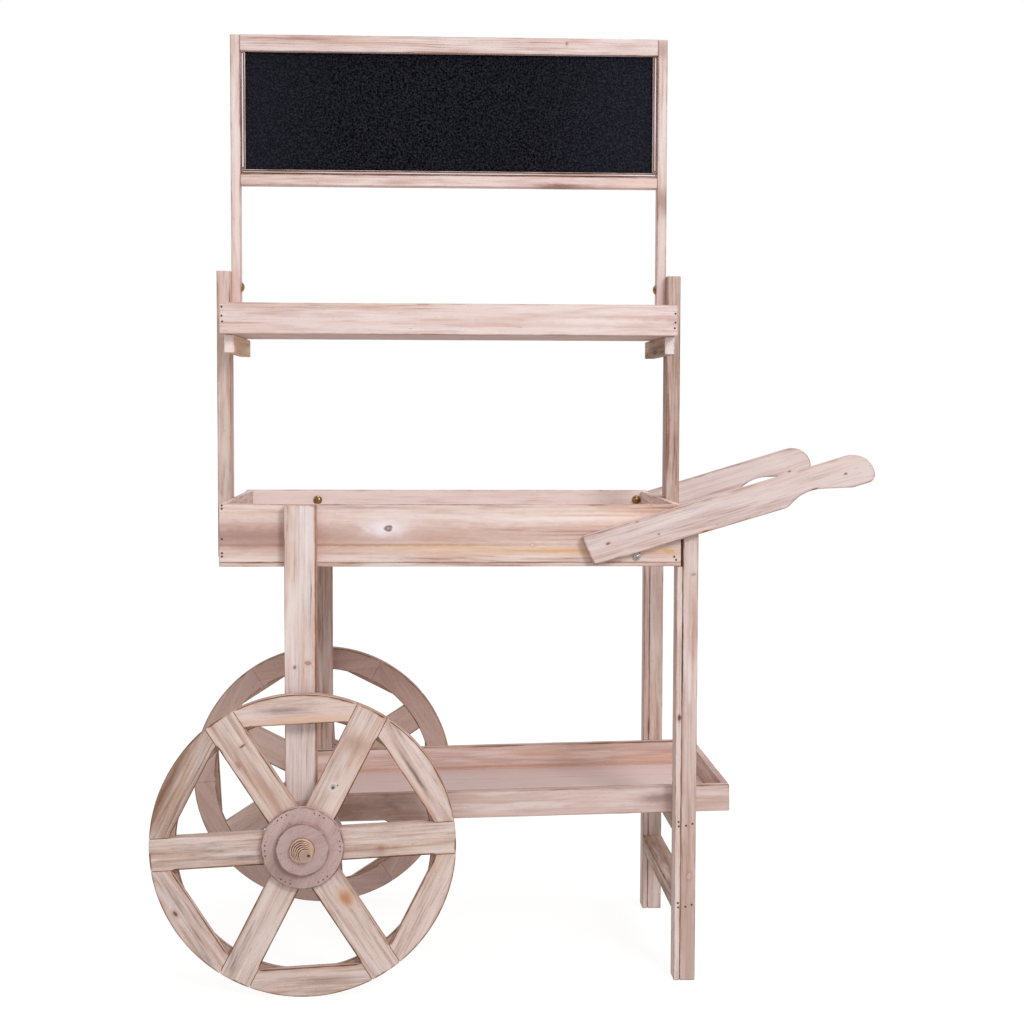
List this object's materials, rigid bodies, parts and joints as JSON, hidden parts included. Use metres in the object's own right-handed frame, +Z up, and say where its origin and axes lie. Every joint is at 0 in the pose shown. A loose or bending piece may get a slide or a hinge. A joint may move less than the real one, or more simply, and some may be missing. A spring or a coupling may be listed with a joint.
{
  "type": "garden cart",
  "caption": "Rustic wooden flower cart with a deep tray, lower tray, upper shelf and chalkboard sign, on spoked wheels, legs and push handles.",
  "frame": {"origin": "on the ground, in the middle of the cart's overall length and depth", "axes": "+X from the wheels towards the handles, +Y from front to back, +Z up"},
  "size_m": [1.124, 0.632, 1.517],
  "materials": {
    "tray_wood": "whitewashed, weathered, matte",
    "pale_wood": "whitewashed, matte",
    "brown_wood": "weathered, matte",
    "wheel_wood": "weathered with scorched edges, matte",
    "hub_wood": "whitewashed, matte",
    "dowel_wood": "bare, matte",
    "chalkboard": "chalkboard paint, matte",
    "brass_bolts": "zinc-yellow, semi-gloss",
    "steel_hardware": "zinc",
    "dark_nails": "oxidised"
  },
  "bodies": {
    "cart": {"axle": "dowel_wood", "back_axle_cap": "hub_wood", "back_axle_journal": "dowel_wood", "back_handle": "tray_wood", "back_leg_inner_board": "tray_wood", "back_leg_outer_board": "tray_wood", "back_wheel_leg": "tray_wood", "chalkboard_panel": "chalkboard", "front_axle_cap": "hub_wood", "front_axle_journal": "dowel_wood", "front_handle": "tray_wood", "front_leg_inner_board": "tray_wood", "front_leg_outer_board": "tray_wood", "front_wheel_leg": "tray_wood", "handle_bolts": "brass_bolts", "left_post": "brown_wood", "left_shelf_cleat": "brown_wood", "lower_leg_crossbar": "tray_wood", "lower_tray_back_rail": "tray_wood", "lower_tray_floor": "tray_wood", "lower_tray_front_rail": "tray_wood", "lower_tray_left_end": "tray_wood", "lower_tray_right_end": "tray_wood", "nail_heads": "dark_nails", "post_screws": "steel_hardware", "right_post": "brown_wood", "right_shelf_cleat": "brown_wood", "shelf_back_rail": "pale_wood", "shelf_floor": "pale_wood", "shelf_front_rail": "pale_wood", "shelf_left_end": "pale_wood", "shelf_right_end": "pale_wood", "sign_beads": "pale_wood", "sign_bolts": "brass_bolts", "sign_bottom_rail": "pale_wood", "sign_left_stile": "pale_wood", "sign_right_stile": "pale_wood", "sign_top_rail": "pale_wood", "tray_back_board": "tray_wood", "tray_floor": "tray_wood", "tray_front_board": "tray_wood", "tray_left_end": "tray_wood", "tray_nuts": "steel_hardware", "tray_right_end": "tray_wood", "upper_leg_crossbar": "tray_wood", "wheel_leg_bolts": "brass_bolts"},
    "front_wheel": {"front_hub_brads": "dark_nails", "front_hub_core": "hub_wood", "front_hub_inner_disc": "hub_wood", "front_hub_outer_disc": "hub_wood", "front_wheel_felloes": "wheel_wood", "front_wheel_ring": "wheel_wood", "front_wheel_spokes": "wheel_wood"},
    "back_wheel": {"back_hub_brads": "dark_nails", "back_hub_core": "hub_wood", "back_hub_inner_disc": "hub_wood", "back_hub_outer_disc": "hub_wood", "back_wheel_felloes": "wheel_wood", "back_wheel_ring": "wheel_wood", "back_wheel_spokes": "wheel_wood"}
  },
  "joints": [
    {"name": "front_wheel_spin", "type": "hinge", "parent": "cart", "child": "front_wheel", "pos_m": [-0.327, -0.266, 0.235], "axis": [0, 1, 0], "continuous": true},
    {"name": "back_wheel_spin", "type": "hinge", "parent": "cart", "child": "back_wheel", "pos_m": [-0.327, 0.266, 0.235], "axis": [0, 1, 0], "continuous": true}
  ]
}
